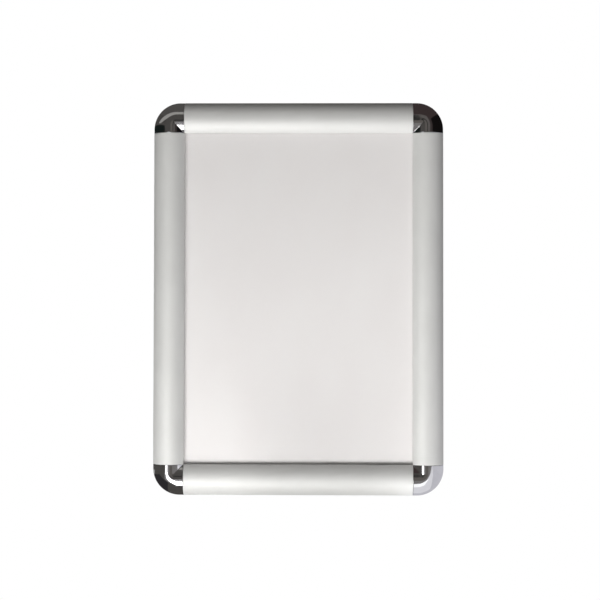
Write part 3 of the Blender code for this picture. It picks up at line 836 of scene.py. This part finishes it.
def clear_sheet():
    """The cover sheet: clear satin plastic that dims what is behind it a little and has a soft sheen.

    Light that leaves the sheet from inside all passes through. By its Fresnel share, flat light would be
    reflected back inside and never come out.
    """
    made, tree = bare_material("clear_sheet")
    streaks = stretched_noise(tree, scale=(700, 700, 8), detail=3)
    grain = stretched_noise(tree, scale=(3000, 3000, 3000), detail=2)
    sheen = node(
        tree,
        "ShaderNodeBsdfGlossy",
        Color=WHITE,
        Roughness=mapped_range(tree, streaks, low=0.30, high=0.38),
        Normal=bump(tree, grain, distance=0.003 * MM),
    ).outputs["BSDF"]
    tint = (SHEET_TINT, SHEET_TINT, SHEET_TINT, 1)
    through = node(tree, "ShaderNodeBsdfTransparent", Color=tint).outputs["BSDF"]
    fresnel = node(tree, "ShaderNodeFresnel", IOR=SHEET_IOR).outputs["Fac"]
    inside = node(tree, "ShaderNodeNewGeometry").outputs["Backfacing"]
    share = node(tree, "ShaderNodeMath", {"operation": "SUBTRACT", "use_clamp": True}, i0=fresnel, i1=inside)
    mix = node(tree, "ShaderNodeMixShader", i0=share.outputs[0], i1=through, i2=sheen)
    show_surface(tree, mix.outputs["Shader"])
    return made


FINISHES = {
    "satin_aluminium": satin_aluminium(),
    "mill_aluminium": mill_aluminium(),
    "chrome_plate": chrome_plate(),
    "zinc_plated_steel": zinc_plate(),
    "spring_steel": spring_steel(),
    "white_polystyrene": white_polystyrene(),
    "white_paper": white_paper(),
    "clear_sheet": clear_sheet(),
}


# Pieces

def quarter_matrix(quarter, x, z):
    """The own axes of a side or corner at (x, z), where quarter counts the quarter turns from the bottom."""
    turn = Matrix.Rotation(-quarter * math.pi / 2, 4, "Y") @ Matrix.Rotation(math.pi / 2, 4, "X")
    return Matrix.Translation((x, 0, z)) @ turn


def rail_matrix(side):
    """Where a side's own axes stand: at the middle of the frame's outer edge."""
    quarter = RAILS.index(side)
    x = (0, 1, 0, -1)[quarter] * FRAME_WIDTH / 2
    z = (-1, 0, 1, 0)[quarter] * FRAME_HEIGHT / 2
    return quarter_matrix(quarter, x, z)


def corner_matrix(corner):
    """Where a corner's own axes stand: at the frame's outer corner."""
    quarter = CORNERS.index(corner)
    x = (-1, 1, 1, -1)[quarter] * FRAME_WIDTH / 2
    z = (-1, -1, 1, 1)[quarter] * FRAME_HEIGHT / 2
    return quarter_matrix(quarter, x, z)


def new_piece(name, mesh, slot, place):
    """A new object of its own mesh, at its place and in the finish of a slot of the record."""
    piece = bpy.data.objects.new(name, mesh.copy())
    piece.data.materials.clear()
    piece.data.materials.append(FINISHES[slot])
    bpy.context.collection.objects.link(piece)
    piece.matrix_world = place
    return piece


def length_of(node_name):
    low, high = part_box(node_name)
    return max(high.x - low.x, high.z - low.z)


def build_cover(side, length):
    section = rounded(cover_section(), EDGE_ROUND)
    cover = rounded_bar(side + "_cover_extrusion", section, length, COVER_END_EDGE)
    piece = new_piece(side + "_cover_extrusion", cover, "satin_aluminium", rail_matrix(side))
    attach(piece, side + "_cover")
    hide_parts(side + "_front_cover")


def build_base_rail(side, length):
    """A base rail with small rounds on its edges. The two upright ones have the wall-fixing holes."""
    base = rail_prism(side + "_rail_extrusion", base_section(), length)
    if side in ("left", "right"):
        base = drilled_rail(base, length)
    piece = new_piece(side + "_rail_extrusion", base, "mill_aluminium", rail_matrix(side))
    round_edges(piece, EDGE_ROUND)
    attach(piece, "frame_base")
    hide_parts(side + "_base_rail")


def build_rails():
    for side in RAILS:
        length = length_of(side + "_front_cover")
        build_cover(side, length)
        build_base_rail(side, length)


def build_springs():
    """The leaf springs, two to a side: each a strip bent to an arc between the notch of the base rail and
    that of the cover.
    """
    for side in RAILS:
        length = length_of(side + "_front_cover")
        place = rail_matrix(side)
        for number, share in enumerate(SPRING_PLACE_SHARES, 1):
            name = f"{side}_spring_blade_{number}"
            spring = rail_prism("spring", spring_section(), SPRING_WIDTH)
            spring_place = place @ Matrix.Translation((share * length, 0, 0))
            piece = new_piece(name, spring, "spring_steel", spring_place)
            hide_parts(f"{side}_leaf_spring_{number}")
            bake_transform(piece)


def build_caps():
    cap = cap_mesh()
    for corner in CORNERS:
        piece = new_piece(corner + "_chrome_cap", cap, "chrome_plate", corner_matrix(corner))
        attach(piece, "frame_base")
        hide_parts(corner + "_cap")


def dress(node_name, slot, edge):
    """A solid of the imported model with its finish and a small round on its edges."""
    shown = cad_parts[node_name]
    shown.data.materials.clear()
    shown.data.materials.append(FINISHES[slot])
    if edge:
        round_edges(shown, edge)


def dress_the_rest():
    """The connectors, the screws, the panel, the insert and the cover sheet keep their solids."""
    for corner in CORNERS:
        dress(corner + "_connector", "zinc_plated_steel", EDGE_ROUND)
        dress(corner + "_cap_screw", "zinc_plated_steel", SCREW_EDGE_ROUND)
    for side in RAILS:
        for number in SET_SCREW_NUMBERS:
            dress(f"{side}_set_screw_{number}", "zinc_plated_steel", SCREW_EDGE_ROUND)
    dress("backing_panel", "white_polystyrene", EDGE_ROUND)
    dress("blank_insert", "white_paper", 0)
    dress("clear_cover_sheet", "clear_sheet", 0)


# Studio

def emission_material(name, colour, strength=1.0):
    made, tree = bare_material(name)
    light = node(tree, "ShaderNodeEmission", Color=(*colour, 1), Strength=strength)
    show_surface(tree, light.outputs["Emission"])
    return made


def polygon(name, corners, material):
    """A flat piece of the studio."""
    mesh = bpy.data.meshes.new(name)
    mesh.from_pydata(corners, [], [range(len(corners))])
    made = bpy.data.objects.new(name, mesh)
    mesh.materials.append(material)
    bpy.context.collection.objects.link(made)
    return made


def mirrored(name, corners, colour):
    """A card that shows in metal and gloss alone. It neither lights, shades nor shows itself."""
    made = polygon(name, corners, emission_material(name, colour))
    made.visible_camera = False
    made.visible_diffuse = False
    made.visible_transmission = False
    made.visible_volume_scatter = False
    made.visible_shadow = False
    return made


def flat_corners(low, high):
    """The corners of an upright or level rectangle, from two that are opposite."""
    x, y, z = zip(low, high)
    if z[0] == z[1]:
        return [(x[0], y[0], z[0]), (x[1], y[0], z[0]), (x[1], y[1], z[0]), (x[0], y[1], z[0])]
    return [(x[0], y[0], z[0]), (x[1], y[1], z[0]), (x[1], y[1], z[1]), (x[0], y[0], z[1])]


def card_corners(azimuth, elevation, distance, width, height):
    """The corners of a card that faces the frame's middle. Azimuth is 0 in front, positive to the right."""
    a = math.radians(azimuth)
    e = math.radians(elevation)
    away = Vector((math.sin(a) * math.cos(e), -math.cos(a) * math.cos(e), math.sin(e)))
    across = Vector((math.cos(a), math.sin(a), 0)) * width / 2
    up = across.normalized().cross(away) * -height / 2
    centre = away * distance
    return [centre - across - up, centre + across - up, centre + across + up, centre - across + up]


def build_mirrored_room():
    """What the chrome and the satin rails mirror: a dim room, open to the white behind the frame."""
    for name, colour, low, high in FLATS:
        mirrored(name, flat_corners(low, high), colour)
    for name, height, colour, outline in PATCHES:
        mirrored(name, [(x, y, height) for x, y in outline], colour)
    mirrored("person", card_corners(**PERSON), PERSON_COLOUR)


def softbox(name, place, width, height, watts):
    """An area lamp that faces the frame's middle. Neither the camera nor mirrors show it."""
    data = bpy.data.lights.new(name, "AREA")
    data.shape = "RECTANGLE"
    data.size = width
    data.size_y = height
    data.energy = watts
    lamp = bpy.data.objects.new(name, data)
    bpy.context.collection.objects.link(lamp)
    lamp.location = place
    lamp.rotation_euler = (-Vector(place)).to_track_quat("-Z", "Y").to_euler()
    lamp.visible_camera = False
    lamp.visible_glossy = False


def build_flag():
    """A narrow flag between the low lamp and the frame, which leaves a soft shade low on the panel."""
    flag = mirrored("flag", flat_corners(*FLAG_CORNERS), (0, 0, 0))
    flag.visible_glossy = False
    flag.visible_shadow = True


def build_lamps():
    """A bright table top low on the left, which the chrome mirrors, and broad soft light round the frame."""
    corners = [(x, y, TABLE_TOP) for x, y in TABLE_OUTLINE]
    table = polygon("bright_table", corners, emission_material("bright_table", TABLE_COLOUR, TABLE_STRENGTH))
    table.visible_camera = False
    for name, place, width, height, watts in SOFTBOXES:
        softbox(name, place, width, height, watts)
    build_flag()


def background_level(tree, light_level, seen_level):
    """How bright a white backdrop is: seen_level where it is looked at, light_level to all other light.

    It is looked at by the camera, in mirrors and through glass, and 1 is white.
    """
    path = node(tree, "ShaderNodeLightPath").outputs
    seen = path["Is Camera Ray"]
    for ray in ("Is Glossy Ray", "Is Transmission Ray"):
        seen = node(tree, "ShaderNodeMath", {"operation": "MAXIMUM"}, i0=seen, i1=path[ray]).outputs[0]
    return mapped_range(tree, seen, light_level, seen_level, 0, 1)


def floor_material():
    """Pale paint that glows nearly white where it is looked at, and still takes a soft shadow."""
    made, tree = bare_material("pale_floor")
    paint = node(tree, "ShaderNodeBsdfDiffuse", Color=STUDIO_FLOOR_PAINT)
    level = background_level(tree, 0, STUDIO_FLOOR_SEEN)
    glow = node(tree, "ShaderNodeEmission", Color=WHITE, Strength=level)
    both = node(tree, "ShaderNodeAddShader", i0=paint.outputs[0], i1=glow.outputs[0])
    show_surface(tree, both.outputs[0])
    return made


def build_floor():
    """A plain pale floor well below the frame."""
    radius = STUDIO_FLOOR_RADIUS
    angles = [2 * math.pi * step / STUDIO_FLOOR_POINTS for step in range(STUDIO_FLOOR_POINTS)]
    rim = [(radius * math.cos(a), radius * math.sin(a), STUDIO_FLOOR) for a in angles]
    floor = polygon("floor", rim, floor_material())
    floor.visible_glossy = False
    floor.visible_diffuse = False
    floor.visible_shadow = False


def build_world():
    world = bpy.data.worlds.new("studio")
    bpy.context.scene.world = world
    world.use_nodes = True
    tree = world.node_tree
    back = tree.nodes["Background"]
    back.inputs["Color"].default_value = WHITE
    tree.links.new(background_level(tree, WORLD_LIGHT, WORLD_SEEN), back.inputs["Strength"])


def build_camera():
    camera = bpy.data.objects.new("camera", bpy.data.cameras.new("camera"))
    bpy.context.collection.objects.link(camera)
    camera.data.lens = CAMERA_LENS
    turn = Matrix.Rotation(CAMERA_YAW, 4, "Z") @ Matrix.Rotation(CAMERA_PITCH, 4, "X")
    turn = turn @ Matrix.Rotation(CAMERA_ROLL, 4, "Y") @ Matrix.Rotation(math.pi / 2, 4, "X")
    camera.matrix_world = Matrix.Translation(CAMERA_PLACE) @ turn
    bpy.context.scene.camera = camera


def build_studio():
    build_world()
    build_mirrored_room()
    build_lamps()
    build_floor()
    build_camera()
    bpy.context.scene.view_settings.view_transform = "Standard"


def main():
    build_rails()
    build_springs()
    build_caps()
    dress_the_rest()
    build_studio()


main()
